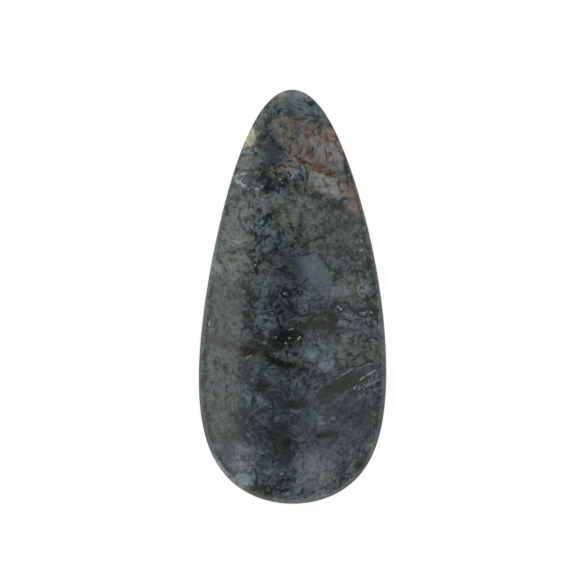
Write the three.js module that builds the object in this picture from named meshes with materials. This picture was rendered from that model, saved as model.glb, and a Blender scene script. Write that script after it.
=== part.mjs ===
// A teardrop cabochon of moss agate, lying on its flat back: a low dome over a thin upright
// girdle, and a small bevel round the edge of the back, as a stone cut for a pendant has.
// Millimetres, +Z up, the narrow end towards +Y. The origin is the middle of the flat back.

import * as THREE from "three";
import { mergeVertices } from "three/addons/utils/BufferGeometryUtils.js";

// Driving dimensions

const stoneLength = 52; // narrow end to round end
const stoneThickness = 5.8; // flat back to the crest of the dome
const girdleTop = 1.5; // the upright edge ends here and the dome begins
const backBevel = 0.4; // both ways, ground off the sharp edge of the back

// Half the width is a half circle drawn out sideways by a polynomial of the place t along the
// stone, which is 1 at the narrow end and -1 at the round one. Millimetres, lowest power first.
const drawnOut = [11.0, -3.71, 1.71, -1.04, 0.87];
const sway = { by: 0.075, middle: 0.15, halfWave: 0.78 }; // the hand-ground edge wanders a little

const shoulder = 0.72; // of the dome: 0.5 is an ellipse across, 1 is a parabola with a sharp edge

// How finely the round surfaces are cut into flats

const roundSteps = 96;
const domeSteps = 22;
const backRing = 0.5; // the flat back has one ring between its middle and its edge

const stoneColour = 0x50585a;
const polish = 0.18;

const halfLength = stoneLength / 2;
const edgeStrip = 1; // within this distance of the edge, a ring runs beside it
const widthSamples = 400; // places along the stone where its greatest width is looked for
const smallTurn = 1e-4; // radians, to see which way the edge runs
const smallLength = 1e-4;

function widthFactor(t) {
  return drawnOut.reduceRight((sum, term) => sum * t + term, 0);
}

function halfWidth(t) {
  return widthFactor(t) * Math.sqrt(Math.max(0, 1 - t * t));
}

function greatestHalfWidth() {
  let greatest = 0;
  for (let i = 0; i <= widthSamples; i++) {
    greatest = Math.max(greatest, halfWidth((2 * i) / widthSamples - 1));
  }
  return greatest;
}

function middle(t) {
  return sway.by * Math.cos((Math.PI * (t - sway.middle)) / sway.halfWave);
}

function edgePoint(angle) {
  const t = Math.sin(angle);
  return new THREE.Vector2(widthFactor(t) * Math.cos(angle) + middle(t), halfLength * t);
}

// The edge moved inwards by inset, square to itself

function insetPoint(angle, inset) {
  const along = edgePoint(angle + smallTurn).sub(edgePoint(angle - smallTurn)).normalize();
  return edgePoint(angle).add(new THREE.Vector2(-along.y, along.x).multiplyScalar(inset));
}

// 1 at the crest over the widest place, and 0 all along the edge

function domeShare(x, y, greatest) {
  const t = THREE.MathUtils.clamp(y / halfLength, -1, 1);
  const within = halfWidth(t) ** 2 - (x - middle(t)) ** 2;
  return (Math.max(0, within) / greatest ** 2) ** shoulder;
}

// A round blank of the stone's greatest half width, turned on a lathe. Its radius says how far
// each ring lies inside the edge, and only the dome's rings are above the girdle.

function roundBlank(radius) {
  const profile = [
    new THREE.Vector2(0, 0),
    new THREE.Vector2(radius * backRing, 0),
    new THREE.Vector2(radius - backBevel, 0),
    new THREE.Vector2(radius, backBevel),
    new THREE.Vector2(radius, girdleTop),
  ];
  for (let i = 1; i <= domeSteps; i++) {
    const turn = (Math.PI / 2) * (i / domeSteps);
    profile.push(new THREE.Vector2(radius * Math.cos(turn), girdleTop + Math.sin(turn)));
  }
  profile[profile.length - 1].x = 0;
  return new THREE.LatheGeometry(profile, roundSteps).rotateX(Math.PI / 2);
}

// The blank drawn out to the teardrop, with the dome's real height at each place

function teardropStone() {
  const radius = greatestHalfWidth();
  const rise = stoneThickness - girdleTop;
  const geometry = roundBlank(radius);
  const position = geometry.getAttribute("position");
  for (let i = 0; i < position.count; i++) {
    const angle = Math.atan2(position.getY(i), position.getX(i));
    const inset = radius - Math.hypot(position.getX(i), position.getY(i));
    const kept = insetPoint(angle, Math.min(inset, edgeStrip));
    if (inset > edgeStrip) kept.multiplyScalar((radius - inset) / (radius - edgeStrip));
    const onDome = position.getZ(i) > girdleTop + smallLength;
    const z = onDome ? girdleTop + rise * domeShare(kept.x, kept.y, radius) : position.getZ(i);
    position.setXYZ(i, kept.x, kept.y, z);
  }
  return centred(closed(geometry));
}

function closed(geometry) {
  geometry.deleteAttribute("normal");
  geometry.deleteAttribute("uv");
  return mergeVertices(geometry, smallLength);
}

function centred(geometry) {
  geometry.computeBoundingBox();
  const box = geometry.boundingBox;
  return geometry.translate(-(box.min.x + box.max.x) / 2, -(box.min.y + box.max.y) / 2, 0);
}

const stone = new THREE.Mesh(
  teardropStone(),
  new THREE.MeshStandardMaterial({ color: stoneColour, roughness: polish, metalness: 0 }),
);
stone.name = "moss_agate";

const group = new THREE.Group();
group.add(stone);

export default group;
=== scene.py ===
import bpy
import numpy as np
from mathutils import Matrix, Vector, noise


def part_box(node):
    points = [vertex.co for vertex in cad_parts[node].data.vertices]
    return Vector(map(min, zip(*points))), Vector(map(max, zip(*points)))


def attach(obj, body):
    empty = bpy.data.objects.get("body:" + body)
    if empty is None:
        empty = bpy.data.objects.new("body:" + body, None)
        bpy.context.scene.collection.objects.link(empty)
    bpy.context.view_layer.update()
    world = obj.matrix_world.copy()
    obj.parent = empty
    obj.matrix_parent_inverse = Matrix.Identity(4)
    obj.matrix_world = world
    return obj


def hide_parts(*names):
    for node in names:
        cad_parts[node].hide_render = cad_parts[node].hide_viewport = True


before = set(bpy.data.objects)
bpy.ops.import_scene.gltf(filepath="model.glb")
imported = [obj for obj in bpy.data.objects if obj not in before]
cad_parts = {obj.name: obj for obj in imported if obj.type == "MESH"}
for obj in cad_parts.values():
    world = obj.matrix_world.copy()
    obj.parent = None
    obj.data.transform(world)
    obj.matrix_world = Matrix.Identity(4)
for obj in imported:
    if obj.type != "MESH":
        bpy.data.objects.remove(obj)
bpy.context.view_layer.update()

mm = 0.001

# The stone's form follows the same curves as its solid. Millimetres, the narrow end towards +Y.

stone = {
    "drawnOut": [11.0, -3.71, 1.71, -1.04, 0.87],  # half the width is a half circle drawn out
    "swayBy": 0.075, "swayMiddle": 0.15, "swayHalfWave": 0.78,  # the hand-ground edge wanders
    "shoulder": 0.72,  # 0.5 is an ellipse across the dome, 1 a parabola
    "girdleTop": 1.5, "girdleRings": 4, "backBevel": 0.4,
    "across": 170, "along": 380,  # cells of the dome's mesh, about 0.14 mm each
    "backInset": 0.9,  # the back's own coarser mesh starts this far from the edge
    "sharpAngle": 30.0,
    "widthSamples": 401,  # places along the stone where its greatest width is looked for
    "steep": (0.95, 1.6), "edgePaintedShade": 0.8,  # the slopes where the painted shade on the steep edge starts and ends, and how dark it gets
}

stoneLow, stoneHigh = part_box("moss_agate")
halfLength = (stoneHigh.y - stoneLow.y) / 2 / mm
thickness = stoneHigh.z / mm


def widthFactor(t):
    return np.polyval(stone["drawnOut"][::-1], t)


def halfWidth(t):
    return widthFactor(t) * np.sqrt(np.clip(1 - t * t, 0, None))


def middle(t):
    return stone["swayBy"] * np.cos(np.pi * (t - stone["swayMiddle"]) / stone["swayHalfWave"])


def domeHeight(x, y):
    t = np.clip(y / halfLength, -1, 1)
    greatest = halfWidth(np.linspace(-1, 1, stone["widthSamples"])).max()
    within = np.clip(halfWidth(t) ** 2 - (x - middle(t)) ** 2, 0, None)
    rise = thickness - stone["girdleTop"]
    return stone["girdleTop"] + rise * (within / greatest ** 2) ** stone["shoulder"]


def domeSlope(x, y, step=0.05):
    across = domeHeight(x + step, y) - domeHeight(x - step, y)
    along = domeHeight(x, y + step) - domeHeight(x, y - step)
    return np.hypot(across, along) / (2 * step)


def points(mesh):
    found = np.empty(len(mesh.vertices) * 3)
    mesh.vertices.foreach_get("co", found)
    return found.reshape(-1, 3)


def setPoints(mesh, places):
    mesh.vertices.foreach_set("co", places.ravel())
    mesh.update()


def drawnSheet(name, across, along, inset=0):
    # a square grid pressed into a disc, and the disc drawn out to the stone's outline
    bpy.ops.object.select_all(action="DESELECT")
    bpy.ops.mesh.primitive_grid_add(x_subdivisions=across, y_subdivisions=along, size=2)
    sheet = bpy.context.active_object
    sheet.name = name
    places = points(sheet.data)
    u, v = places[:, 0].copy(), places[:, 1].copy()
    t = v * np.sqrt(1 - u * u / 2)
    places[:, 0] = u * np.sqrt(1 - v * v / 2) * (widthFactor(t) - inset) + middle(t)
    places[:, 1] = t * (halfLength - inset)
    setPoints(sheet.data, places)
    return sheet


def modelStone():
    agate = drawnSheet("agateStone", stone["across"], stone["along"])
    places = points(agate.data)
    places[:, 2] = domeHeight(places[:, 0], places[:, 1])
    setPoints(agate.data, places)

    # the girdle, drawn down from the dome's edge, and a plain face that closes the back
    bpy.ops.object.mode_set(mode="EDIT")
    bpy.ops.mesh.select_mode(type="EDGE")
    bpy.ops.mesh.select_all(action="SELECT")
    bpy.ops.mesh.region_to_loop()
    down = -stone["girdleTop"] / stone["girdleRings"]
    for _ in range(stone["girdleRings"]):
        bpy.ops.mesh.extrude_region_move(TRANSFORM_OT_translate={"value": (0, 0, down)})
    bpy.ops.mesh.edge_face_add()
    bpy.ops.mesh.bevel(offset=stone["backBevel"], segments=1, affect="EDGES")

    # The plain face gives way to a sheet of cells, bridged to the bevel. The sheet waits a little
    # lower until then, so that the two loops pair up all the way round.
    bpy.ops.mesh.select_mode(type="FACE")
    bpy.ops.mesh.select_all(action="DESELECT")
    bpy.ops.mesh.select_face_by_sides(number=4, type="GREATER")
    bpy.ops.mesh.delete(type="ONLY_FACE")
    bpy.ops.object.mode_set(mode="OBJECT")
    back = drawnSheet("back", stone["across"] // 2, stone["along"] // 2, stone["backInset"])
    setPoints(back.data, points(back.data) - (0, 0, stone["backInset"]))
    agate.select_set(True)
    bpy.context.view_layer.objects.active = agate
    bpy.ops.object.join()
    bpy.ops.object.mode_set(mode="EDIT")
    bpy.ops.mesh.select_mode(type="EDGE")
    bpy.ops.mesh.select_all(action="DESELECT")
    bpy.ops.mesh.select_non_manifold(extend=False, use_wire=False, use_multi_face=False,
                                     use_non_contiguous=False, use_verts=False)
    bpy.ops.mesh.bridge_edge_loops()
    bpy.ops.mesh.select_all(action="SELECT")
    bpy.ops.mesh.normals_make_consistent(inside=False)
    bpy.ops.object.mode_set(mode="OBJECT")

    places = points(agate.data)
    places[:, 0] -= (places[:, 0].min() + places[:, 0].max()) / 2
    places[:, 2] = np.maximum(places[:, 2], 0)
    setPoints(agate.data, places)
    return agate


# What grew in the stone, seen from above. A patch is x, y, its two half widths, its turn in
# degrees and how strong it is. A stroke is its width and then its points. Millimetres from the
# middle of the stone.

ground = {
    "base": "slate",
    "patches": [
        # broad fields
        ("sage", -8, 6, 3.4, 9.5, 8, 0.85), ("fog", -9.4, -13, 4.2, 8.6, 0, 1),
        ("sage", -5.6, 10, 2.6, 3.5, 0, 0.5), ("drab", 4, 9.6, 5.5, 4, -12, 0.7),
        ("sage", -2, 11, 3.2, 2.6, 0, 0.6), ("ash", 1, 23.6, 3.6, 2.2, 0, 0.8),
        ("gloom", 8.4, -13, 4.6, 5, 0, 0.8), ("sage", 7.6, -6.8, 3.2, 1.9, 0, 0.65),
        ("gloom", 2.8, -14, 3.4, 2.8, 0, 0.8), ("gloom", 2.4, -4.4, 3.4, 2.4, 0, 0.5),
        ("gloom", 4, -18.4, 3, 1.6, 0, 0.5), ("gloom", -8.2, -18.4, 1.6, 1.4, 0, 0.6),
        ("ash", 3.8, -25, 1.8, 0.7, 25, 0.8), ("gloom", -2.2, -14, 3.6, 6, 0, 0.75),
        ("gloom", -5.4, -7.6, 3.4, 2.2, 0, 0.5), ("gloom", -6.2, -10.2, 1, 2.4, 0, 0.4),
        ("gloom", -1, 1.4, 1.9, 3.2, 0, 0.7), ("mauve", -3, 4.3, 1.1, 0.9, 0, 0.7),
        ("plum", -2.4, 2.3, 1.7, 1.3, 0, 0.35), ("plum", -3.2, 6.6, 1.4, 0.9, 30, 0.35),
        ("night", -1, -1.2, 1.3, 1.8, 0, 0.5), ("moss", 2.8, -3.9, 3, 0.8, 4, 0.5),
        ("inky", 3.3, -3.6, 3.2, 0.55, 1, 0.75), ("soot", -1.6, -17.6, 1.5, 2.6, 6, 0.7),
        ("night", -1, -4.8, 1.8, 1.2, 0, 0.6), ("gloom", -5.4, -0.8, 1.1, 3.2, 0, 0.7),
        ("umber", -6, -6.3, 3, 0.8, -12, 0.7), ("soot", -1.6, -8.2, 2.3, 0.6, -15, 0.9),
        ("drab", -8.8, -8.4, 1.8, 1.8, 0, 0.3), ("soot", -2.8, -6.4, 1.6, 0.9, 0, 0.8),
        ("fog", -8.4, -0.6, 2.6, 4.4, 0, 0.75), ("drab", -8.2, -1.6, 2, 1.8, 0, 0.25),
        ("ash", -4.9, -12.2, 1.8, 1.5, 0, 0.8), ("ash", 0.2, -10.3, 1.3, 1, 0, 0.9),
        ("ash", 2.4, -10.8, 1.4, 1.5, 0, 1), ("soot", 6.6, -10.7, 3.4, 0.7, 27, 0.6),
        ("beige", 2.9, -22.2, 2.3, 3.2, 0, 0.9), ("dusk", 8, -15.8, 2.8, 3, 0, 0.5),
        ("lichen", 7.2, 1.6, 2, 1.8, 0, 0.3), ("dusk", 3.6, -1, 1.6, 1.4, 0, 0.7),
        # narrow end
        ("khaki", -1, 21.2, 2, 1.6, 0, 1), ("brick", 2.8, 18.8, 3.4, 3.2, 0, 0.9),
        ("mauve", 1.8, 19, 0.6, 0.9, 0, 0.4), ("clay", 5.5, 18.2, 1.3, 2.2, 15, 1),
        ("clay", 0.6, 17.6, 1.8, 1.8, 0, 0.8), ("khaki", -1.9, 24.7, 0.9, 0.7, 20, 0.7),
        ("clay", 4.2, 18.2, 1.1, 1, 0, 0.7), ("brick", -0.6, 16.4, 1.8, 0.5, 0, 0.8),
        ("pewter", -0.9, 25.1, 0.9, 0.5, 20, 0.9), ("pewter", -0.2, 25.3, 1.9, 0.8, 0, 0.7),
        ("milk", 1, 25.5, 1.4, 0.25, -25, 0.5), ("navy", -2.5, 18.6, 1.2, 1.8, 0, 0.95),
        ("navy", -3, 16.2, 0.9, 1.8, 0, 0.8), ("inky", -2.45, 19.8, 0.3, 0.5, 10, 0.7),
        ("inky", -1.7, 18.5, 0.35, 0.4, 0, 0.8), ("moss", -4.2, 20.6, 0.8, 1.9, 0, 0.7),
        ("yellow", -5.4, 20.1, 0.95, 1.6, -22, 1), ("lichen", -4.6, 22, 0.6, 0.8, -20, 0.9),
        ("milk", -5.5, 18.3, 0.7, 0.35, 0, 0.8), ("plum", -0.3, 22.8, 0.9, 0.5, 0, 0.9),
        ("teal", -1.9, 22.7, 0.7, 0.4, 0, 0.8), ("bronze", 1, 22.2, 0.7, 0.3, 0, 0.9),
        ("dusk", 0.6, 20.7, 0.4, 0.55, 0, 0.7), ("bronze", 3.6, 20.9, 0.3, 0.9, 0, 0.8),
        ("peach", 5.2, 20, 0.7, 1.1, 20, 0.9), ("peach", 4, 19.4, 0.7, 0.4, 0, 0.6),
        ("cream", 5, 18.8, 0.7, 0.7, 0, 0.8), ("lilac", 3.7, 18.5, 0.5, 0.9, 0, 0.8),
        ("pewter", 5.5, 17.2, 0.6, 1.1, 8, 0.9), ("umber", 2.6, 18, 0.35, 0.8, 0, 0.8),
        ("moss", 6.6, 16.6, 0.3, 1.4, 10, 0.8), ("clay", 6, 21, 0.6, 1.4, 25, 0.6),
        # shoulder
        ("sage", -5.7, 16.8, 1.3, 0.8, 0, 0.95), ("umber", -4.6, 15, 1.2, 0.35, 0, 0.8),
        ("lilac", -5, 15.5, 0.5, 0.25, 0, 0.8), ("milk", -7.1, 14.8, 0.35, 0.6, 0, 0.7),
        ("mauve", -7, 12.8, 0.4, 1, 20, 0.7), ("soot", -6.2, 13.2, 0.4, 0.35, 0, 0.8),
        ("night", -3.1, 13.4, 0.7, 0.5, 0, 0.8), ("milk", -6.3, 14.4, 0.6, 0.45, 0, 0.9),
        ("khaki", -2.1, 15.7, 0.9, 0.4, 0, 0.8), ("lilac", -0.2, 15.7, 0.8, 0.55, 0, 1),
        ("soot", -2, 14.4, 1.2, 0.6, 0, 0.7), ("teal", -1.7, 13.1, 0.8, 0.6, 0, 0.8),
        ("lilac", 1.15, 15.9, 0.45, 0.5, 0, 0.9), ("cream", 4.3, 14, 2.3, 1.2, -26, 0.85),
        ("pewter", 5.7, 13.4, 0.7, 1, 0, 0.9), ("teal", 2.7, 14.8, 0.7, 0.4, 0, 0.6),
        ("lilac", 6.5, 12.4, 0.35, 0.6, -20, 0.9), ("moss", 6.9, 13.8, 0.35, 0.9, 8, 0.8),
        ("terracotta", 7.3, 13, 0.9, 2.6, 18, 0.9), ("peach", 7.6, 11.2, 0.6, 0.7, 10, 0.7),
        ("olive", 1.2, 13.7, 1.5, 0.6, 0, 0.9), ("lichen", 1, 12.2, 1, 0.4, 0, 0.6),
        ("moss", 4.9, 12, 0.9, 0.5, 0, 0.8), ("moss", 3.2, 12.6, 0.5, 0.4, 0, 0.7),
        ("clay", 5.2, 16.6, 0.8, 0.8, 0, 0.6), ("navy", -2.7, 11.4, 0.9, 0.6, 0, 0.5),
        ("lichen", -0.7, 9.9, 1.5, 1.4, 0, 0.5), ("bronze", -1.8, 9.6, 0.4, 1.4, 5, 0.5),
        ("dusk", -2.8, 11.5, 0.9, 0.7, 0, 0.6), ("lilac", -2.3, 12, 1.9, 1, 0, 0.4),
        ("beige", 1.2, 11.6, 1.6, 0.9, 0, 0.5), ("slate", -2.6, 6.5, 1.3, 1, 30, 0.9),
        ("umber", -1.8, 5.4, 1.6, 0.25, 0, 0.6), ("bronze", 0.9, 8.2, 0.3, 1.1, 0, 0.8),
        ("moss", 6.3, 8.9, 1.6, 0.8, 0, 0.5), ("ash", 3, 9.2, 1.5, 1.4, 0, 0.45),
        ("moss", 5.3, 11.3, 0.9, 0.7, -30, 0.7), ("gloom", -5.5, 9, 0.9, 1.2, 0, 0.7),
        ("teal", -4.4, 9.8, 0.9, 0.6, 0, 0.8), ("lilac", -7.6, 6.9, 1, 0.25, 10, 0.5),
        ("lichen", -7.6, 4.3, 1, 0.8, 0, 0.4), ("lilac", -9.6, 3.7, 0.9, 0.9, 10, 0.7),
        ("lilac", -7.6, 3, 1.2, 0.8, 0, 0.35), ("khaki", 8.8, 7, 0.9, 0.8, 10, 0.35),
        ("teal", 8, 6.6, 0.4, 0.35, 0, 0.7), ("olive", 9, 6.2, 0.7, 1.4, 10, 0.5),
        # belly
        ("mauve", -6.3, 1.6, 0.5, 0.4, 0, 0.8), ("inky", -6, -2.2, 0.5, 0.5, 0, 0.5),
        ("ash", -3.6, -3.2, 1.2, 0.8, 0, 0.8), ("slate", -3.2, 1.9, 1.3, 1.5, 0, 0.5),
        ("lilac", -3.6, 1.6, 0.8, 1, 0, 0.25), ("gloom", -1.9, -0.2, 0.9, 0.7, 0, 0.6),
        ("lilac", 6, 0.6, 1, 0.8, 0, 0.8), ("lilac", 8.9, 0.9, 0.9, 0.7, 0, 0.8),
        ("lichen", 7, 2.3, 0.9, 0.5, 10, 0.6), ("slate", 3, 0, 1.4, 1, 0, 0.5),
        ("olive", 7.4, 1.6, 0.7, 0.9, 0, 0.5), ("soot", 5, -3, 0.8, 0.6, 0, 0.6),
        ("soot", 7.6, -1.6, 2.2, 0.5, -8, 0.6), ("slate", 1.2, -6.8, 0.9, 0.5, 20, 0.8),
        ("slate", 3.5, -6.1, 1, 0.6, 0, 0.8), ("mist", 4.2, -8.2, 1.2, 1.1, 0, 0.7),
        ("mist", 3.6, -6, 1, 0.7, 0, 0.4), ("mist", 2.2, -7.2, 0.8, 0.8, 20, 0.6),
        ("blue", -1, -7.1, 1, 0.3, 0, 0.8), ("khaki", 7.9, -6, 1.6, 0.6, 0, 0.3),
        ("mauve", 9.2, -6.3, 0.7, 0.4, 0, 0.7), ("ash", 6.9, -4.9, 0.9, 0.45, 0, 0.8),
        ("ash", 9.6, -5.3, 0.8, 0.5, 0, 0.5), ("umber", -9.2, -5.5, 1.5, 0.8, -15, 0.6),
        ("soot", -8.8, -5.7, 1.8, 0.6, -13, 0.5), ("inky", -5, -6.7, 1.5, 0.5, -10, 0.8),
        ("inky", -0.8, -8.4, 1.5, 0.35, -15, 0.8), ("inky", 0.3, -7.2, 0.4, 0.35, 0, 0.8),
        ("soot", 0.9, -8.9, 0.8, 0.5, 0, 0.5), ("moss", -3.7, -11, 0.8, 1.1, 0, 0.9),
        ("gloom", -7.8, -16.6, 1, 3, 0, 0.4), ("gloom", -6.5, -16.4, 1.4, 2.4, 0, 0.9),
        ("night", -6.6, -16.8, 1.1, 2, 0, 0.5), ("soot", -8.6, -18.6, 1.6, 1.6, 0, 0.35),
        ("soot", -6.5, -16.9, 0.7, 1.4, 0, 0.6), ("dusk", -8.6, -19.3, 1.3, 1.6, 0, 0.8),
        ("slate", -5.3, -12.6, 1, 1.2, 0, 0.6), ("mist", -5.7, -12, 0.45, 1, 0, 0.6),
        ("teal", -4.9, -13.4, 1.8, 0.4, 0, 0.8), ("moss", 5, -11.4, 2, 0.7, 27, 0.6),
        ("mist", 2.9, -10.9, 0.6, 0.4, 0, 0.6), ("moss", -0.9, -11.6, 0.6, 1, -40, 0.5),
        ("moss", 0.6, -13.3, 2.6, 0.6, 6, 0.8),
        # round end
        ("moss", -5, -14.7, 2.4, 0.7, 0, 0.7), ("teal", 2.9, -15, 1.3, 1.6, 0, 0.8),
        ("dusk", -4.5, -16.8, 0.9, 1.6, 0, 0.5), ("soot", -2.2, -18.8, 1.2, 0.7, 0, 0.4),
        ("beige", -6, -19.8, 1.8, 1.7, -10, 0.6), ("lilac", -6.2, -21.2, 1.4, 0.5, 0, 0.3),
        ("dusk", -8.4, -19.8, 0.8, 0.8, 0, 0.8), ("ash", -9.4, -18.7, 0.7, 0.7, 0, 0.6),
        ("milk", -9.3, -21, 1.5, 0.5, -45, 0.9), ("milk", -6, -22.7, 1.3, 0.7, -8, 0.95),
        ("gloom", -3.5, -21.6, 1.1, 1.2, 0, 0.9), ("mist", -3.1, -21.9, 0.6, 0.45, 0, 0.8),
        ("soot", -1, -20.3, 0.9, 1.4, 0, 0.7), ("gloom", -1.1, -23.2, 1.1, 0.7, 0, 0.8),
        ("lilac", 0.6, -23.4, 0.4, 0.9, 0, 0.6), ("lichen", 1, -21.2, 0.3, 0.6, 0, 0.6),
        ("dusk", -3.6, -24.4, 1, 0.5, -15, 0.5), ("milk", -2.3, -25.6, 0.6, 0.25, 0, 0.8),
        ("milk", -7.2, -23.4, 1.2, 0.3, -35, 0.7), ("inky", 3.5, -17.5, 1, 0.35, 0, 0.8),
        ("inky", 4.8, -17.1, 1.1, 0.35, 5, 0.8), ("plum", 6.4, -20.8, 0.8, 1.1, 0, 0.5),
        ("plum", 6.2, -20.6, 0.8, 1, 0, 0.4), ("soot", 6.4, -21.2, 0.7, 0.7, 0, 0.6),
        ("teal", 7.4, -19.5, 0.6, 0.5, 0, 0.6), ("soot", 8.4, -21.2, 0.7, 0.6, 0, 0.7),
        ("lilac", 6, -23, 1.4, 0.8, 20, 0.6), ("khaki", 10.6, -15.2, 0.4, 1, 0, 0.25),
        # faint paler and darker clouds over all of it
        ("milk", -4.2, 9, 1.6, 3.6, 10, 0.17), ("milk", 0, 16.4, 2.2, 1.8, 0, 0.13),
        ("milk", -1.8, 21, 0.9, 1.6, 0, 0.13), ("soot", -6.4, -11.6, 1, 4.6, 0, 0.22),
        ("soot", 3.2, -16.4, 2.4, 4, 0, 0.22), ("soot", -8.2, -18.6, 1.3, 1.8, 0, 0.25),
        ("milk", -4.2, -14.2, 1.2, 1.8, 0, 0.13), ("soot", 4.2, -4.4, 1.1, 1.8, 0, 0.18),
        ("soot", -6.3, 0.8, 1, 2.2, 0, 0.16), ("soot", 7.2, 0.8, 1, 1.6, 0, 0.15),
        ("soot", -5, -24.8, 1.2, 0.6, -25, 0.4), ("lilac", 2, 19.2, 1, 1, 0, 0.5),
        ("peach", 4.7, 15.4, 0.8, 0.35, -20, 0.8),
    ],
}

# The smoky window in the middle, where the chalcedony is clearest.

window = {
    "outline": [
        (-1.7, 4.9), (0, 5), (1.6, 5.2), (2.6, 5.5), (3.5, 5.1), (3.9, 4.2), (4.5, 3), (4.9, 1.6),
        (4.7, 0.2), (4.2, -0.8), (3.2, -0.7), (2.4, 0.2), (1.6, 1.6), (0.6, 2.6), (0.5, 3.6),
        (-0.4, 3.8), (-1.5, 4.2),
    ],
    "rim": (-0.25, 0.45),  # how deep inside the outline it starts, and is whole
    "leftCloud": 0.5, "leftClouded": (0.4, -2), "leftLean": 0.3,  # it clouds over to the left
    "lowCloud": 0.7, "lowClouded": (3, 0),  # and towards its lower end
    "cleared": (0, 2), "clearLean": 0.4, "clearMiddle": 4,  # it is darkest on the left
    "quiet": 0.7, "bare": 0.95,  # how much less pattern and growths there are in it
}

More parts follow.
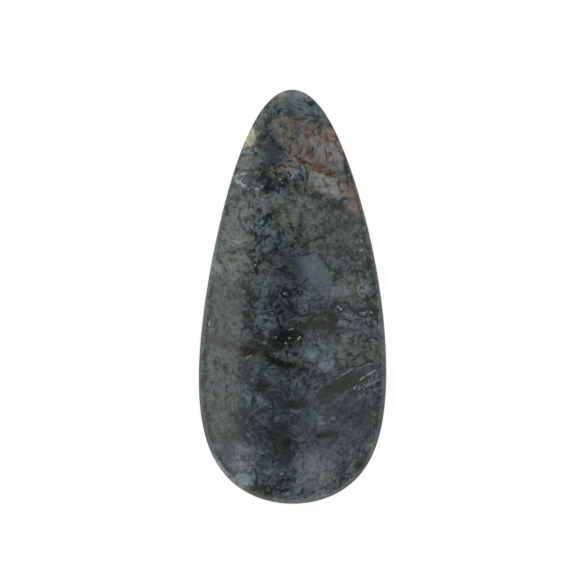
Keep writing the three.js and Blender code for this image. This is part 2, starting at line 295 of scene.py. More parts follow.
growth = {
    # dark green moss: where it thickens, from 0 to 1
    "moss": {
        "all": 0.36,
        "patches": [
            (-9, -13, 3.2, 7, 0, 0.2), (-2, 10.6, 3.2, 2.8, 0, 0.24), (-2.2, 12, 1.7, 0.9, 0, 0.08),
            (1.2, 11.6, 1.6, 0.8, 0, 0.15), (-2.6, 6.6, 1.2, 0.9, 30, 0.15),
            (-3.1, 1.9, 1.5, 1.6, 0, 0.15), (6, 0.9, 1.3, 1.5, 0, 0), (8.9, 0.9, 0.9, 0.8, 0, 0.1),
            (1, 23.6, 3.6, 2.2, 0, 0.12), (-9, 2, 2.4, 10, 5, 0.24), (2.6, 19.4, 2.8, 2.8, 0, 0.05),
            (4.4, 14, 2.6, 1.4, -26, 0.14), (-5.8, 16.9, 1.2, 0.8, 0, 0.05),
            (-5.4, 20.1, 0.9, 1.5, -20, 0), (-0.9, -4.9, 2, 1.3, 0, 0.75),
            (-1.6, -17.8, 1.7, 2.6, 6, 0.5), (-5.4, -1.4, 1, 2.8, 0, 0.5),
            (6.2, -10.9, 2.8, 0.9, 27, 0.8), (9.4, -14.5, 2, 3, 0, 0.5), (5.4, 11.5, 1, 0.6, -30, 0.6),
            (-4.3, 20.6, 0.5, 1.7, 0, 0.5), (-0.6, 21.2, 2, 1.5, 0, 0.2),
            (2.3, 24.3, 0.4, 0.35, -30, 0.9), (-2.5, 18.6, 1.2, 1.7, 0, 0.12),
            (-0.2, 18.6, 1.3, 2, 0, 0.08), (1, 16.2, 1.2, 0.7, 0, 0.15), (-3, 15.4, 0.8, 2, 0, 0.5),
            (-4.5, 14.8, 0.8, 0.4, 0, 0.6), (5.6, 5.2, 0.35, 0.45, 0, 0.65), (7.4, 5.2, 0.4, 0.5, 0, 0.6),
            (6.3, 3.4, 0.9, 0.3, 0, 0.65), (7.5, 3.1, 0.4, 0.35, 0, 0.6), (-3.7, -11, 0.7, 1, 0, 0.85),
            (-2.7, -12.2, 0.4, 0.4, 20, 0.8), (1.5, -10.4, 0.25, 0.5, 0, 0.8),
            (2.9, -3.5, 2.8, 0.5, -4, 0.85), (4.2, -17.3, 1.6, 0.4, 8, 0.7),
            (6.4, -20.8, 0.9, 1.2, 0, 0.5), (-6.3, -15, 1.4, 0.8, 0, 0.5),
            (-3.7, -24.6, 1.8, 0.6, -10, 0.6), (8.4, -21.4, 0.6, 0.6, 0, 0.65),
            (6.6, 17.2, 0.25, 1, 10, 0.8), (5.2, 17.8, 1.3, 2.6, 12, -0.15),
            (4.6, 15.4, 0.9, 0.4, -20, 0), (0, 25.2, 1.7, 0.7, 0, -0.1), (2.8, -22, 2, 3, 0, 0.12),
            (-3.5, -21.6, 1.1, 1, 0, 0.15), (7.4, 12.4, 1, 2.2, 20, 0.08), (5, -2.6, 0.8, 0.6, 0, 0.8),
            (4.2, -8.2, 1.2, 1, 0, 0.15), (-3.1, -21.9, 0.7, 0.5, 0, 0.1), (-6, -22.7, 1.3, 0.7, -8, 0.1),
            (8.9, 8.7, 0.7, 0.8, 0, 0.6), (0.8, -13.3, 2, 0.5, 6, 0.7), (-6.4, -20.6, 1.7, 0.9, 0, 0.25),
        ],
        "strokes": [
            (0.3, (8.9, -2.6), (9, -3.6), (10, -3.9)), (0.25, (10.3, -2.2), (10.5, -3.6)),
            (0.35, (6.4, 18.3), (6.6, 17.2), (6.6, 16), (6.9, 15), (6.9, 13.4)),
            (0.4, (0.2, -13.5), (1.5, -13.3), (3, -13)), (0.25, (7.5, -8.8), (8.8, -8.4), (10.2, -8)),
            (0.3, (7, -11.5), (8.4, -10.7), (9.6, -9.9)), (0.25, (8.2, -11.8), (9.6, -11), (10.8, -10.4)),
            (0.5, (-2.9, 7.6), (-3.5, 7.2), (-4.2, 6.5), (-4.8, 6.1), (-5.5, 5.6)),
            (0.5, (-2.9, 10.4), (-3.5, 9.9), (-4.3, 9.6)), (0.35, (-3.2, 9.8), (-3.6, 8.8)),
            (0.4, (3, 7.4), (3.7, 7.5), (4.3, 7.6)), (0.25, (3, 7.3), (2.2, 7.2), (1.7, 6.6), (1.3, 6.3)),
            (0.35, (5.2, 11.6), (6.4, 10.6)), (0.4, (-1.9, 7.9), (-1.8, 7.1)),
        ],
    },
    # manganese black: small dense grains and the darkest cores
    "black": {
        "all": 0.12,
        "patches": [
            (-0.9, -5.1, 1.7, 1.2, 0, 0.58), (-5, -1, 0.5, 0.9, 0, 0.4), (-5.4, 20.1, 0.9, 1.5, -20, 0),
            (-1, 21, 2, 1.5, 0, 0), (-1.4, -18, 1.2, 1.2, 0, 0.22), (-3.1, 13.7, 0.5, 0.6, 0, 0.5),
            (-2.45, 19.8, 0.3, 0.5, 10, 0.55), (-5.2, -6.7, 1.3, 0.4, -8, 0.53),
            (-1.5, -8.2, 2, 0.5, -15, 0.7), (0.5, -13.6, 0.5, 0.2, 0, 0.4), (-4.6, 4, 0.3, 0.45, 0, 0.95),
            (-1.5, -1.9, 0.5, 0.4, 0, 0.6), (-0.3, -1, 0.3, 0.2, -40, 0.6),
            (-3.1, 10.2, 0.3, 0.25, 0, 0.6), (-5.2, 5.75, 0.35, 0.25, 40, 0.7),
            (2.2, 24.4, 0.35, 0.25, 0, 0.7), (-1.15, 8.1, 0.18, 0.3, 0, 0.9),
            (-4.5, 7.9, 0.22, 0.25, 0, 0.85), (0.3, -7.2, 0.35, 0.3, 0, 0.8),
            (-6.2, 13.2, 0.35, 0.3, 0, 0.6), (3.5, -17.5, 0.9, 0.3, 0, 0.55),
        ],
        "strokes": [
            (0.3, (-4.3, 5), (-4.1, 4.2), (-4.6, 3.5), (-4.5, 3)), (0.22, (-4.5, 5.1), (-5.2, 4.6)),
            (0.3, (0.4, 7.6), (0.1, 6.8), (-0.1, 6.3)), (0.22, (-6.4, -7.5), (-4.9, -7)),
            (0.3, (0.6, -9.1), (1.5, -9)),
        ],
    },
    # chlorite, olive to brown
    "olive": {
        "all": 0.22,
        "patches": [
            (-5.8, 16.6, 1, 0.55, 0, 0.4), (1.2, 13.6, 1.4, 0.5, 0, 0.7), (-1.9, 9.6, 0.45, 1.4, 5, 0.6),
            (0.9, 8.3, 0.4, 1.1, 0, 0.75), (6.3, 8.9, 1.4, 0.7, 0, 0.5), (-8.5, 8.5, 1.6, 2.4, 0, 0.45),
            (-9, -1, 1.4, 3, 0, 0.4), (2.9, -3.3, 2.8, 0.5, -4, 0.7), (-5.4, -6.9, 1.8, 0.6, -8, 0.75),
            (5.6, -11.2, 2.8, 0.6, 27, 0.3), (-5.4, 20.1, 0.9, 1.5, -20, 0),
            (-4.4, 20.4, 0.4, 1.5, 0, 0.5), (3.6, 20.9, 0.25, 0.8, 0, 0.7), (1.1, 22.2, 0.5, 0.2, 0, 0.8),
            (8.9, 6.4, 0.6, 1.2, 0, 0.6), (2.4, 10, 0.9, 0.5, 0, 0.5), (-2.2, -18, 1.6, 1.2, 0, 0.45),
            (-3.7, -24.6, 1.8, 0.5, -10, 0.6), (8.3, -21.2, 0.5, 0.5, 0, 0.6),
            (10.6, -15, 0.4, 1, 0, 0.6), (8, -6, 1.4, 0.5, 0, 0.45),
        ],
        "strokes": [
            (0.4, (-1, 12.4), (-1, 11.6), (-1.7, 11.2), (-2.1, 10.5), (-2.1, 9.2), (-1.8, 8.3)),
            (0.25, (7.9, 3), (7.7, 2.2), (7.1, 1.6), (6.8, 1.3)), (0.25, (7.7, 2), (8, 0.7)),
            (0.25, (4.5, 21.6), (4.2, 21)),
            (0.35, (1.1, 10.4), (0.8, 9.4), (1, 8.6), (0.9, 7.6), (0.3, 7)),
            (0.35, (-2.3, 3.4), (-1, 3.3), (-0.3, 3), (0.1, 2.3), (0.1, 1.2)),
            (0.25, (3.5, 6.6), (4.3, 6.6)),
        ],
    },
}

marks = {
    # dark healed cracks and the outlines of cells
    "vein": {
        "all": 0,
        "patches": [],
        "strokes": [
            (0.45, (-1.3, 0.5), (-1.1, 0.85), (-0.7, 0.95), (-0.35, 0.75), (-0.25, 0.35), (-0.5, 0),
             (-0.9, -0.05), (-1.2, 0.15), (-1.3, 0.5)),
            (0.35, (-4.6, 0.1), (-5.1, -0.2), (-5.4, -0.8)), (0.3, (-4.4, 0), (-4.3, -0.5), (-4.8, -0.8)),
            (0.35, (-5.2, -1), (-4.9, -1.6), (-5, -2)), (0.3, (-4.1, -1.7), (-3.1, -1.55)),
            (0.3, (-4, -2.1), (-3.3, -2.2)), (0.25, (-3.4, -2.9), (-2.6, -3)),
            (0.35, (-6, -1.8), (-5.8, -2.6)), (0.25, (-6.4, 0.2), (-5.9, -0.6)),
            (0.4, (-2.4, -2.5), (-1.7, -2.2), (-1.2, -1.7)), (0.4, (-2.1, -1.5), (-1.7, -1.1)),
            (0.3, (-0.5, -0.4), (-0.3, -1), (0, -1.3)), (0.3, (-2.3, -0.4), (-1.8, 0)),
            (0.3, (0.75, 0.7), (1.1, 0.8), (1.25, 0.45), (1, 0.1), (0.75, 0.4)),
            (0.35, (0, 0.9), (0.4, 0.9)), (0.25, (1.9, 2.3), (1.4, 1.9), (0.9, 1.3)),
            (0.45, (0, -1.6), (0.6, -1.9), (1, -2.4), (1.8, -2.2), (2.2, -2)),
            (0.3, (2.4, -1), (3, -1.5)), (0.25, (5, 2), (5.8, 2.4)), (0.25, (3.3, -0.3), (4, -0.5)),
            (0.5, (4.9, -1.5), (5.4, -0.95), (6.2, -0.6), (6.8, -0.8), (7.3, -1.4), (7.8, -1.9),
             (8.6, -1.75), (9.4, -1.45), (10.2, -1.5), (10.7, -1.8)),
            (0.5, (7.9, -0.5), (8.7, -0.5), (9.6, -0.2), (10.4, 0.3)),
            (0.3, (5.6, -2), (6.1, -2), (6.4, -1.6)),
            (0.25, (7.8, -2.1), (8.6, -2.5), (9.5, -2.4), (10.5, -2.1)),
            (0.25, (6.8, -2.9), (7.3, -3.3), (7, -3.8)),
            (0.25, (7.9, -2.8), (8.5, -2.9), (8.8, -3.4), (8.2, -3.7)),
            (0.25, (9.1, -2.9), (9.2, -3.5), (9.9, -3.7)), (0.25, (5.2, -2.9), (6.6, -2.8)),
            (0.3, (-2.9, 7.6), (-3.6, 7.1), (-4.3, 6.5)), (0.6, (-4.5, 6.2), (-5.4, 5.7)),
            (0.35, (-2.9, 10.3), (-3.5, 9.9), (-4.4, 9.6)), (0.3, (-3.3, 9.7), (-3.6, 8.8)),
            (0.35, (-4.6, 8), (-4.5, 7.7)), (0.35, (-1.1, 8.3), (-1.2, 7.8)),
            (0.3, (-0.9, 7.6), (-0.8, 7.2)), (0.4, (-4.3, 4.9), (-4.1, 4.3), (-4.5, 3.6), (-4.5, 3.1)),
            (0.3, (-5.2, 4.8), (-4.6, 5.1)), (0.35, (0.4, 7.6), (0.1, 7), (-0.1, 6.6)),
            (0.3, (1.2, 6.2), (1.8, 7), (2.8, 7.3), (4.2, 7.5)), (0.25, (2.9, 8.9), (3.2, 8.6)),
            (0.25, (-1, 3.3), (0, 2.9), (0.3, 2.2), (0.2, 1.4)),
            (0.25, (-1.9, 3.5), (-1.1, 3.1), (-0.6, 2.4)),
            (0.3, (-6.8, -7.3), (-5.8, -7.2), (-4.8, -6.9)), (0.3, (-5.2, -9.1), (-5, -9.2)),
            (0.25, (1.4, -10.2), (1.5, -11)), (0.3, (7.6, -11.2), (8.6, -10.7), (9.8, -10)),
            (0.25, (7.2, -8.9), (8.6, -8.6), (10, -8)), (0.25, (8, -11.9), (9.4, -11.3), (11, -10.8)),
            (0.25, (8.6, -12.8), (10, -12.1), (11, -11.8)), (0.3, (1.4, -8.9), (1.6, -9.4)),
            (0.3, (6, -22.2), (6.6, -21.6)), (0.3, (5.4, -19.4), (5.8, -19.7)),
            (0.25, (8.1, -20.6), (8.6, -21.8)), (0.12, (-6.6, -19.9), (-5, -19.8)),
            (0.2, (-4.6, -19.4), (-3.4, -19.9)),
            (0.25, (-3.6, -24), (-3, -23.6), (-2.6, -24.4), (-3.4, -24.9)),
            (0.25, (-1.8, -24.6), (-1, -24.4), (-0.6, -25)),
            (0.12, (-3.7, 5.3), (-3, 5.2), (-2, 5.3), (-1, 5.1)),
            (0.2, (-1, 5.1), (0, 5), (1.2, 5.15), (2, 5.35), (2.6, 5.6), (3.1, 5.55), (3.4, 5.3),
             (3.9, 4.6), (4.3, 3.9), (4.7, 3.4), (5.3, 3.1)),
            (0.28, (-6.6, 11.2), (-6.8, 10.2), (-6.5, 9.1), (-5.9, 8.2), (-5.2, 7.9), (-4.6, 8.1)),
            (0.16, (-1.5, 7.5), (-1.6, 6.6), (-2.2, 5.8), (-2.8, 5.3)),
            (0.16, (1.1, 10.5), (0.9, 9.7), (1, 8.9)),
            (0.2, (-5.9, 18.6), (-5, 18.8), (-4.3, 18.95), (-3.8, 19.1)),
            (0.2, (1.5, 22.7), (2.5, 22.7), (3.7, 22.55), (4.2, 22.5)), (0.2, (2, 22), (3.2, 22.1)),
            (0.12, (-0.9, 24.7), (-0.5, 24.2), (0, 23.8), (1.4, 23.4)), (0.2, (1.5, 24.6), (2.4, 24)),
            (0.3, (1.2, 16.9), (1.6, 16.3), (1.85, 15.6), (1.95, 14.7)),
            (0.15, (4, 18.6), (4.3, 17.6), (4.2, 16.9)), (0.3, (2.5, 18.6), (2.8, 17.6)),
            (0.12, (4.8, 18.1), (5, 17.2), (5.3, 16.3)), (0.12, (5.3, 19.6), (5.7, 18.6), (6, 17.8)),
            (0.2, (1.2, 19), (1, 17.9)), (0.2, (-3.2, 21.8), (-3.9, 21.7)),
            (0.2, (-6.8, 15.85), (-5, 15.85), (-4, 15.9)), (0.2, (8.4, -4.7), (8.7, -5.6)),
            (0.16, (-1.7, -14.5), (0, -14.6), (0.5, -14.8)), (0.2, (-2.5, -13), (-2.6, -14.6)),
            (0.16, (-11, -10.7), (-10, -10.6)), (0.16, (-6.8, -10.8), (-4.8, -10.7)),
            (0.18, (-9.8, -20), (-9, -20.8), (-8, -21.4)), (0.22, (-4.65, -21.6), (-4.5, -23.3)),
            (0.12, (0.1, -19.7), (0.6, -19.2), (1.2, -19.4), (1.5, -20.4), (1.3, -21.6), (1, -22.6),
             (1.4, -23.6), (1.2, -25)),
            (0.12, (0.1, -19.7), (0, -21), (0.5, -22.5), (0.2, -24)), (0.16, (-9.2, 8.1), (-9.1, 7.3)),
            (0.16, (-9.8, 5.4), (-9, 4.2)), (0.16, (-8.3, 6.2), (-8.1, 6.8), (-7.4, 6.9), (-6.8, 6.4)),
            (0.12, (-7.6, -20.5), (-5, -20.3)), (0.12, (-7.4, -21.3), (-4.9, -21.1)),
            (0.16, (6.1, -10), (7.4, -9.4), (9.8, -8.6)),
        ],
    },
    # quartz that healed open spots, partly pale specks of its own and partly painted highlights where the
    # polish catches the light
    "glint": {
        "all": 0,
        "patches": [
            (-6.2, 15.4, 0.45, 0.15, 5, 1), (-6.2, 13.95, 0.35, 0.2, -30, 0.9),
            (-6.6, 14.3, 0.25, 0.14, 30, 0.8), (-4.5, 13.5, 0.3, 0.22, 0, 0.9),
            (-0.1, 15, 0.15, 0.4, -30, 0.6), (-3.8, 13.9, 0.16, 0.2, 0, 0.8),
            (-1.5, 14.75, 0.13, 0.16, 0, 0.9), (-1.3, 14.3, 0.18, 0.1, 0, 0.7),
            (-2.35, 14.35, 0.2, 0.12, 0, 0.6), (-4, 17.1, 0.12, 0.1, 0, 0.7),
            (-0.95, 0.35, 0.15, 0.15, 0, 1), (-0.6, 0.25, 0.1, 0.1, 0, 0.6),
            (-4.65, 3.9, 0.16, 0.16, 0, 0.9), (-0.9, -5.7, 0.13, 0.13, 0, 0.9),
            (-0.4, -5.15, 0.16, 0.12, 0, 0.8), (-2.1, -5.05, 0.13, 0.1, 0, 0.8),
            (3.1, -4.8, 0.14, 0.12, 0, 0.7), (2.8, -4.2, 0.12, 0.12, 0, 0.7),
            (8.55, 5.85, 0.2, 0.16, 20, 0.8), (8.6, 7, 0.13, 0.3, 0, 0.7),
            (5.7, -1.3, 0.18, 0.14, 30, 0.9), (6.05, -1.55, 0.14, 0.2, 30, 0.8),
            (8.9, -2.05, 0.2, 0.14, 0, 0.8), (9.9, -1.9, 0.18, 0.12, 0, 0.8),
            (7.3, -2.3, 0.15, 0.1, 0, 0.7), (-5.6, 9.3, 0.12, 0.12, 0, 0.6),
            (-5.1, 8.7, 0.14, 0.12, 0, 0.7), (-4.9, 8.4, 0.12, 0.1, 0, 0.6),
            (7.7, -11.4, 0.2, 0.14, 20, 0.7), (8.9, -11.5, 0.14, 0.1, 20, 0.6),
            (9.6, -11.6, 0.16, 0.1, 20, 0.6), (10.3, -11, 0.2, 0.12, 20, 0.6),
            (10.6, -11.9, 0.15, 0.12, 0, 0.6), (9.3, -12.7, 0.12, 0.1, 0, 0.5),
            (8.9, -10.9, 0.15, 0.1, 20, 0.6), (10, -7.2, 0.12, 0.1, 0, 0.6),
            (9.6, -7.6, 0.12, 0.1, 0, 0.5), (10.4, -6.6, 0.12, 0.1, 0, 0.5),
            (7.4, -16.6, 0.1, 0.2, 0, 0.6), (9.9, -18.7, 0.14, 0.2, 0, 0.6),
            (-2.3, -7, 0.12, 0.1, 0, 0.7), (-8.4, 1.2, 0.14, 0.12, 0, 0.5),
        ],
        "strokes": [
            (0.16, (-5.8, -7.7), (-5.1, -7.3)), (0.16, (-3.2, -6.8), (-2.9, -6.4)),
            (0.2, (0.55, -5.35), (0.85, -5)), (0.14, (-0.5, -4.1), (0.3, -3.9)),
            (0.14, (-10.4, -3.6), (-10.4, -3)), (0.12, (7.7, -11.4), (8.1, -11)),
            (0.16, (8.4, -10.4), (9, -10)), (0.2, (9.3, -9.8), (10, -9.45), (10.8, -9)),
            (0.12, (7.2, -11.6), (6.4, -11.9)), (0.14, (10.8, -4), (10.8, -3.4)),
            (0.1, (-1.6, -22.3), (-1.1, -22.1)),
        ],
    },
    # iron, rust red to orange
    "rust": {
        "all": 0,
        "patches": [
            (3.3, 16.2, 1.5, 0.6, -25, 0.95), (4.4, 15.7, 0.9, 0.3, -20, 0.7),
            (2, 17.8, 1.1, 1.6, 0, 0.22), (1.2, 17, 0.7, 0.3, -10, 0.9), (-1.2, 16.4, 0.9, 0.25, -5, 0.6),
            (1.9, 20.1, 0.55, 0.35, 0, 0.75), (1.9, 21, 0.6, 0.35, 0, 0.6),
            (1.9, 18.6, 0.4, 1.2, 10, 0.5), (5.7, 14.3, 0.25, 0.6, 0, 0.8),
            (7.8, 12.8, 0.4, 1.2, 20, 0.35), (5.3, 20.1, 0.5, 0.35, -20, 0.65),
            (4.4, 19.5, 0.3, 0.9, 10, 0.5), (2.1, 10.2, 0.25, 0.2, 0, 0.5), (3, 10.2, 0.25, 0.2, 0, 0.6),
            (5.9, 14.4, 0.15, 0.2, 0, 0.8), (3, 9.6, 0.25, 0.15, 0, 0.5),
        ],
        "strokes": [
            (0.35, (1.8, 16.9), (2.6, 16.4), (3.4, 15.8), (4.4, 15.3), (5.3, 15)),
            (0.2, (1.6, 19.6), (1.8, 18.4), (1.4, 17.4)), (0.2, (2.6, 18.9), (2.5, 17.4)),
            (0.2, (5.6, 14.9), (5.8, 14.1), (5.7, 13.6)), (0.3, (2.4, 21), (2.7, 20.4), (2.9, 19.8)),
            (0.25, (-1.8, 16.2), (-1, 16.5), (0.2, 16.2)), (0.25, (3.3, 19.6), (3.6, 18.9)),
        ],
    },
    # cloudy quartz in pale flakes
    "flake": {
        "all": 0,
        "patches": [
            (-5.4, 8.9, 0.8, 0.6, 0, 0.5), (-2, 13.1, 0.8, 0.5, 0, 0.5), (6.5, -2.3, 0.6, 0.4, -30, 0.8),
            (6.2, -3.4, 0.9, 0.4, 0, 0.8), (8.8, -2.1, 0.5, 0.3, 0, 0.6), (9.6, -3, 0.6, 0.5, 0, 0.7),
            (7.9, -3.7, 0.8, 0.4, 0, 0.5), (8.7, 8.7, 0.7, 0.7, 0, 0.5), (5.5, 10.5, 0.5, 0.5, 0, 0.45),
            (4.2, -8.2, 1, 0.9, 0, 0.6), (2.1, -7.2, 1, 0.6, 20, 0.5), (-6, 0.6, 0.45, 0.3, -20, 0.6),
            (8.9, -10.8, 2, 0.35, 27, 0.55), (9.2, -12.4, 1.6, 0.4, 25, 0.5),
            (6.4, -9.6, 1.6, 0.15, 27, 0.6), (-3.1, -21.9, 0.6, 0.4, 0, 0.3),
            (-6, -22.7, 1.2, 0.6, -10, 0.7), (-9.2, -21, 1.2, 0.35, -45, 0.8),
            (-1, -24.5, 0.8, 0.4, 0, 0.5), (-5.4, -17.2, 0.4, 0.3, 0, 0.6),
            (9.9, -18.7, 0.3, 0.4, 0, 0.7), (6.6, -20, 1.1, 0.14, -45, 0.6),
            (0.6, -14.2, 0.7, 0.12, 0, 0.6), (-3.9, -19.5, 0.5, 0.12, -15, 0.6),
            (-4, 15.3, 0.4, 0.4, 0, 0.5), (-4.1, 17.1, 0.4, 0.3, 0, 0.5),
            (3.55, -15.85, 0.5, 0.4, 0, 0.66), (3.4, -15.2, 0.42, 0.36, 0, 0.62),
            (5.05, -15.2, 0.4, 0.3, 0, 0.58), (-2, -15.3, 0.45, 0.4, 0, 0.62),
            (-7.2, 14.8, 0.4, 0.6, 0, 0.6), (1.6, 25.3, 1.4, 0.2, -32, 0.6),
            (10.4, -3.5, 0.4, 0.5, 0, 0.5), (2, -0.6, 1, 0.4, 0, 0.3), (-7.4, 7, 0.8, 0.2, 0, 0.5),
        ],
        "strokes": [
            (0.2, (5.5, -10.2), (7, -9.3), (8.5, -8.8), (9.6, -8.4)),
            (0.12, (-0.1, -14), (0.5, -14.5), (1.2, -14)),
            (0.5, (-9.7, -20.2), (-8.6, -21.6), (-7.4, -22.9)),
            (0.3, (8.2, -11.6), (9.6, -10.9), (11, -10.4)),
            (0.25, (8.4, -12.4), (9.8, -11.8), (11, -11.4)),
        ],
    },
}

# Where the pattern is calmer than elsewhere: a patch, and how lively it is.

calm = [
    (-9, -12, 3.2, 8, 0, 0.95), (-8.6, 0, 2.6, 5, 0, 0.65), (-5.4, 20.1, 1, 1.5, -20, 0.4),
    (-1, 21, 2, 1.5, 0, 0.7), (0, 2, 4, 4, 0, 0.82), (0, -8, 4, 4, 0, 0.8),
    (-0.5, -14.5, 5, 3.5, 0, 0.65), (2.6, -21.5, 3, 4, 0, 0.5), (1, 24, 3, 1.8, -20, 0.65),
    (5.3, 17.6, 1.3, 2.4, 12, 0.5), (6, 0.8, 1.2, 1.3, 0, 0.6), (2.4, 19, 2.4, 2.6, 0, 0.8),
    (-2.6, 6.6, 1.2, 1, 30, 0.7), (6.4, 9, 1.4, 0.8, 0, 0.4), (4.6, 8, 5, 4.4, -10, 0.75),
    (-5, -20, 4, 3.4, 0, 0.6), (-5, -16, 1.6, 2, 0, 0.7), (7.6, 12.4, 0.9, 2, 20, 0.5),
    (7, -15, 4, 4, 0, 0.7), (8, -7, 3, 3, 0, 0.85), (-8, 8, 3, 6, 5, 0.75),
    (-5.8, 16.9, 1.3, 0.9, 0, 0.5), (4.3, 14, 2.6, 1.4, -26, 0.9), (-0.5, 9, 3.4, 7, 0, 0.8),
]

# Where the growths run one way: a patch and its direction, and how far they are drawn out.

flows = [
    (6, -11, 6, 3.2, 28, 2.4), (3, 18.6, 3, 3, 80, 1.8), (0.6, 24, 4, 2, -28, 2),
    (-6, -7, 5, 1.4, -14, 2), (3, -3.4, 4, 1, -2, 2), (-2, 6.4, 3.4, 2.4, 42, 1.8),
    (-9, -13, 3, 6, 80, 1.5), (-2, -15.6, 4, 2, 3, 1.8), (8, -1.6, 3, 1.4, -12, 1.6),
]

# How the edges of patches and strokes look. Radii are shares of a patch's own.

edges = {
    "patch": (0.5, 1.5), "groundPatch": (0.5, 1.4), "flow": (0.4, 1.4),  # where it fades, and is gone
    "strokeCore": 1.15, "strokeFall": 0.65,  # a stroke is whole in the middle and fades to its sides
    "gap": 0.1, "gapSwing": 1.6, "mostGap": 0.6,  # and it comes and goes along its way
}

# How the growths wander off these shapes: wave size, reach, and the part of the noise they take.

wanders = {
    "seed": 5, "apart": (7.3, 3.1, 11.9),  # from one part of the noise to the next
    "bend": (2.6, 0.3, 1), "curl": (0.8, 0.14, 2),
    "drift": (4, 1, 3), "driftShare": 0.5,  # for each millimetre below the dome
    "ragged": (0.9, 0.45, 4), "crumbly": (0.35, 0.25, 5),
}

# The colours of the chalcedony between the growths

palette = {
    "slate": "647276", "sage": "76827b", "fog": "596365", "ash": "74838b", "moss": "3f4b49",
    "gloom": "505b60", "soot": "33393b", "night": "30373b", "dusk": "495560", "umber": "4d4845",
    "mauve": "5c5a5c", "drab": "70746e", "teal": "647a80", "beige": "899195", "clay": "918681",
    "cream": "b3b0ac", "milk": "a9b6bf", "mist": "8394a4", "lilac": "979da5", "yellow": "c9c8a4",
    "peach": "a8968c", "brick": "8b817c", "terracotta": "8f7a71", "olive": "75796c",
    "blue": "697a8c", "khaki": "8c897b", "navy": "4a525e", "inky": "1e2329", "plum": "5a6076",
    "bronze": "504e3b", "lichen": "8c9484", "pewter": "a6a7a4", "windowClear": "6b7b88",
    "windowDeep": "434f5a",
}


def linear(hexColour):
    channels = np.array([int(hexColour[i:i + 2], 16) / 255 for i in (0, 2, 4)])
    return np.where(channels <= 0.04045, channels / 12.92, ((channels + 0.055) / 1.055) ** 2.4)


def smooth(low, high, value):
    share = np.clip((value - low) / (high - low), 0, 1)
    return share * share * (3 - 2 * share)


def wander(places, size, reach, seed):
    start = Vector([seed * apart for apart in wanders["apart"]])
    found = [noise.noise_vector(Vector(place) / size + start) for place in places]
    return np.array(found) * reach


def patchRadius(x, y, patch):
    # 1 on the patch's edge, 0 at its middle
    px, py, wide, tall, turn = patch
    cos, sin = np.cos(np.radians(turn)), np.sin(np.radians(turn))
    along = ((x - px) * cos + (y - py) * sin) / wide
    up = ((y - py) * cos - (x - px) * sin) / tall
    return np.hypot(along, up)


def strokeDistance(x, y, route):
    nearest = np.full(len(x), np.inf)
    for (x0, y0), (x1, y1) in zip(route, route[1:]):
        dx, dy = x1 - x0, y1 - y0
        share = np.clip(((x - x0) * dx + (y - y0) * dy) / (dx * dx + dy * dy), 0, 1)
        nearest = np.minimum(nearest, np.hypot(x - x0 - share * dx, y - y0 - share * dy))
    return nearest


def insideDepth(x, y, corners):
    # how deep inside a closed outline, negative outside
    depth = strokeDistance(x, y, corners + corners[:1])
    inside = np.zeros(len(x), bool)
    for (x0, y0), (x1, y1) in zip(corners, corners[1:] + corners[:1]):
        crosses = (y0 > y) != (y1 > y)
        rise = (y1 - y0) or 1  # a level side is never crossed
        inside ^= crosses & (x < (x1 - x0) * (y - y0) / rise + x0)
    return np.where(inside, depth, -depth)


def spread(x, y, mineral, fading):
    # how thick one mineral lies at each place, from 0 to 1
    thick = np.full(len(x), float(mineral["all"]))
    for *patch, most in mineral["patches"]:
        share = 1 - smooth(*edges["patch"], patchRadius(x, y, patch))
        thick += (most - thick) * share
    for width, *route in mineral["strokes"]:
        fall = edges["strokeFall"] * strokeDistance(x, y, route) / (width / 2)
        share = np.clip(edges["strokeCore"] - fall, 0, 1)
        thick = np.maximum(thick, share * (1 - fading))
    return thick


def drawnAlong(places):
    # the growths' own coordinates: they are drawn out along each flow
    flowed = places.copy()
    for *patch, stretch in flows:
        px, py, wide, tall, turn = patch
        share = 1 - smooth(*edges["flow"], patchRadius(places[:, 0], places[:, 1], patch))
        cos, sin = np.cos(np.radians(turn)), np.sin(np.radians(turn))
        along = (places[:, 0] - px) * cos + (places[:, 1] - py) * sin
        squeeze = share * along * (1 / stretch - 1)
        flowed[:, 0] += squeeze * cos
        flowed[:, 1] += squeeze * sin
    return flowed


